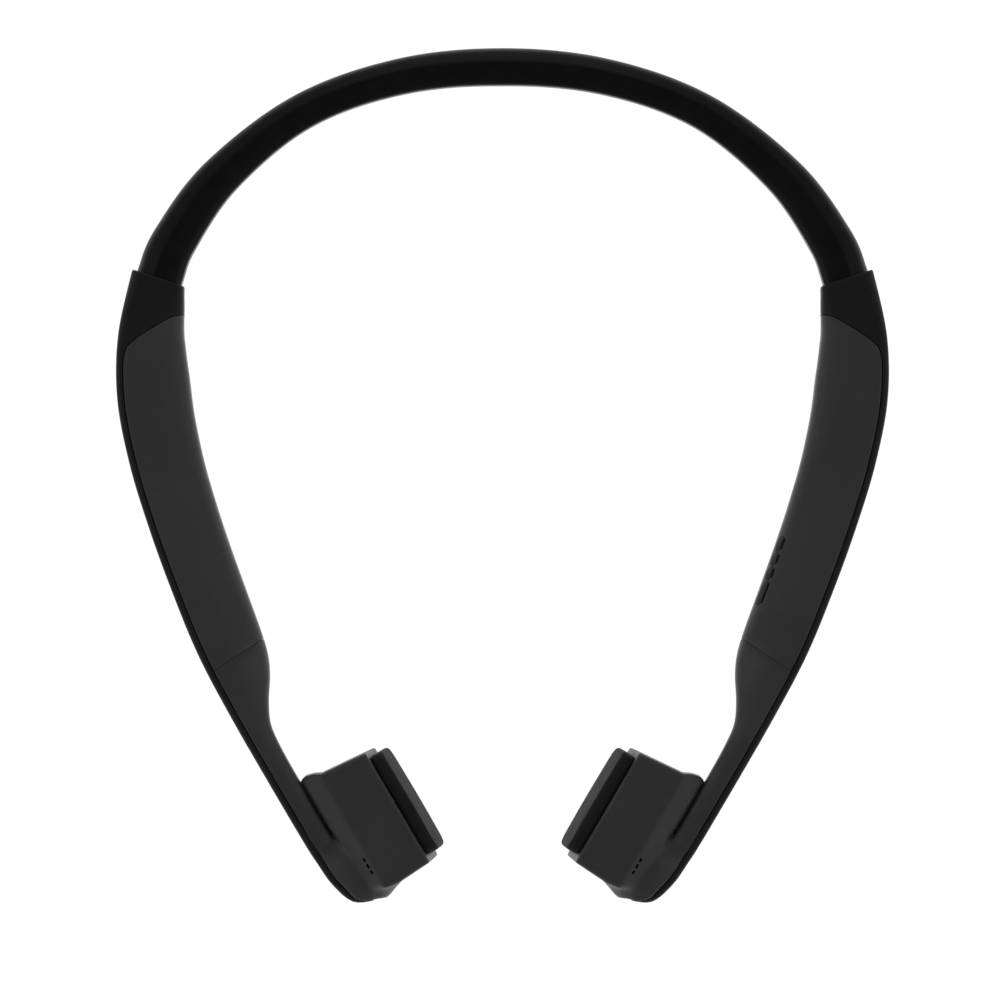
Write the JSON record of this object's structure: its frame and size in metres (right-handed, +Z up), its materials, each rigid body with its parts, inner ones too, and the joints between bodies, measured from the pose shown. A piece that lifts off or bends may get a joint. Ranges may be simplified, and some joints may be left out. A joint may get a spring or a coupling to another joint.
{
  "type": "bone conduction headphones",
  "caption": "Wireless bone conduction headphones: sprung neckband, two over-ear arms with a key row on one, and two cheek transducer pods with soft pads.",
  "frame": {"origin": "middle of the bounding box seen from above, on the surface the headset rests on", "axes": "+Z up when worn, +Y to the back of the wearer's head, +X to the wearer's left, the side with the key row"},
  "size_m": [0.1466, 0.1621, 0.0229],
  "materials": {
    "band_rubber": "satin, soft-touch rubber skin",
    "black_cover": "matte black moulded cover",
    "grey_casing": "matte dark grey moulded casing",
    "key_plastic": "matte",
    "pad_silicone": "matte black silicone",
    "spring_steel": "brushed",
    "magnet_steel": "nickel plated",
    "copper_wire": "enamelled copper winding",
    "lead_jacket": "matte jacket",
    "circuit_board": "solder mask",
    "plated_metal": "tin plated",
    "ceramic_chip": "fired ceramic",
    "battery_foil": "laminated foil pouch",
    "foam_strip": "open cell foam",
    "light_lens": "clear"
  },
  "bodies": {
    "neckband": {"band_skin_centre": "band_rubber", "band_core_centre": "spring_steel", "band_lead_centre": "lead_jacket"},
    "left_arm": {"left_band_skin": "band_rubber", "left_band_core": "spring_steel", "left_band_lead": "lead_jacket", "left_outer_cover": "black_cover", "left_inner_shell": "grey_casing", "left_hook_shell": "grey_casing", "left_hook_spring": "spring_steel", "left_hook_lead": "lead_jacket", "main_board": "circuit_board", "bluetooth_module": "plated_metal", "antenna": "ceramic_chip", "usb_socket": "plated_metal", "status_light": "light_lens", "microphone": "plated_metal", "key_board": "circuit_board", "key_switch_1": "plated_metal", "key_switch_2": "plated_metal", "key_switch_3": "plated_metal", "key_switch_4": "plated_metal"},
    "right_arm": {"right_band_skin": "band_rubber", "right_band_core": "spring_steel", "right_band_lead": "lead_jacket", "right_outer_cover": "black_cover", "right_inner_shell": "grey_casing", "right_hook_shell": "grey_casing", "right_hook_spring": "spring_steel", "right_hook_lead": "lead_jacket", "battery_cell": "battery_foil", "battery_board": "circuit_board", "battery_foam": "foam_strip"},
    "left_pod": {"left_pod_housing": "grey_casing", "left_tip_cover": "black_cover", "left_pad_frame": "black_cover", "left_pad": "pad_silicone", "left_vibration_plate": "spring_steel", "left_suspension_spring": "spring_steel", "left_voice_coil": "copper_wire", "left_magnet": "magnet_steel", "left_yoke": "magnet_steel"},
    "right_pod": {"right_pod_housing": "grey_casing", "right_tip_cover": "black_cover", "right_pad_frame": "black_cover", "right_pad": "pad_silicone", "right_vibration_plate": "spring_steel", "right_suspension_spring": "spring_steel", "right_voice_coil": "copper_wire", "right_magnet": "magnet_steel", "right_yoke": "magnet_steel"},
    "volume_up": {"volume_up_key": "key_plastic"},
    "play": {"play_key": "key_plastic"},
    "volume_down": {"volume_down_key": "key_plastic"},
    "power": {"power_key": "key_plastic"},
    "charging_flap": {"usb_cover": "pad_silicone"}
  },
  "joints": [
    {"name": "left_band_flex", "type": "hinge", "parent": "neckband", "child": "left_arm", "pos_m": [0.04003, 0.07192, 0.0075], "axis": [0, 0, 1], "range_deg": [0, 24], "stiffness_Nm_per_rad": 0.6},
    {"name": "right_band_flex", "type": "hinge", "parent": "neckband", "child": "right_arm", "pos_m": [-0.04003, 0.07192, 0.0075], "axis": [0, 0, -1], "range_deg": [0, 24], "stiffness_Nm_per_rad": 0.6},
    {"name": "left_pod_flex", "type": "hinge", "parent": "left_arm", "child": "left_pod", "pos_m": [0.03537, -0.06853, 0.012], "axis": [0, 0, 1], "range_deg": [-1.5, 6], "stiffness_Nm_per_rad": 0.1},
    {"name": "right_pod_flex", "type": "hinge", "parent": "right_arm", "child": "right_pod", "pos_m": [-0.03537, -0.06853, 0.012], "axis": [0, 0, -1], "range_deg": [-1.5, 6], "stiffness_Nm_per_rad": 0.1},
    {"name": "volume_up_press", "type": "slide", "parent": "left_arm", "child": "volume_up", "axis": [0.6033, -0.4053, -0.6868], "range_m": [0, 0.0004], "stiffness_N_per_m": 500},
    {"name": "play_press", "type": "slide", "parent": "left_arm", "child": "play", "axis": [0.5986, -0.4131, -0.6864], "range_m": [0, 0.0004], "stiffness_N_per_m": 500},
    {"name": "volume_down_press", "type": "slide", "parent": "left_arm", "child": "volume_down", "axis": [0.597, -0.4144, -0.6869], "range_m": [0, 0.0004], "stiffness_N_per_m": 500},
    {"name": "power_press", "type": "slide", "parent": "left_arm", "child": "power", "axis": [0.5968, -0.4106, -0.6893], "range_m": [0, 0.0004], "stiffness_N_per_m": 500},
    {"name": "charging_flap_hinge", "type": "hinge", "parent": "left_arm", "child": "charging_flap", "pos_m": [0.06501, 0.0153, 0.00045], "axis": [0.9786, -0.2055, 0], "range_deg": [0, 100], "stiffness_Nm_per_rad": 0.002}
  ]
}
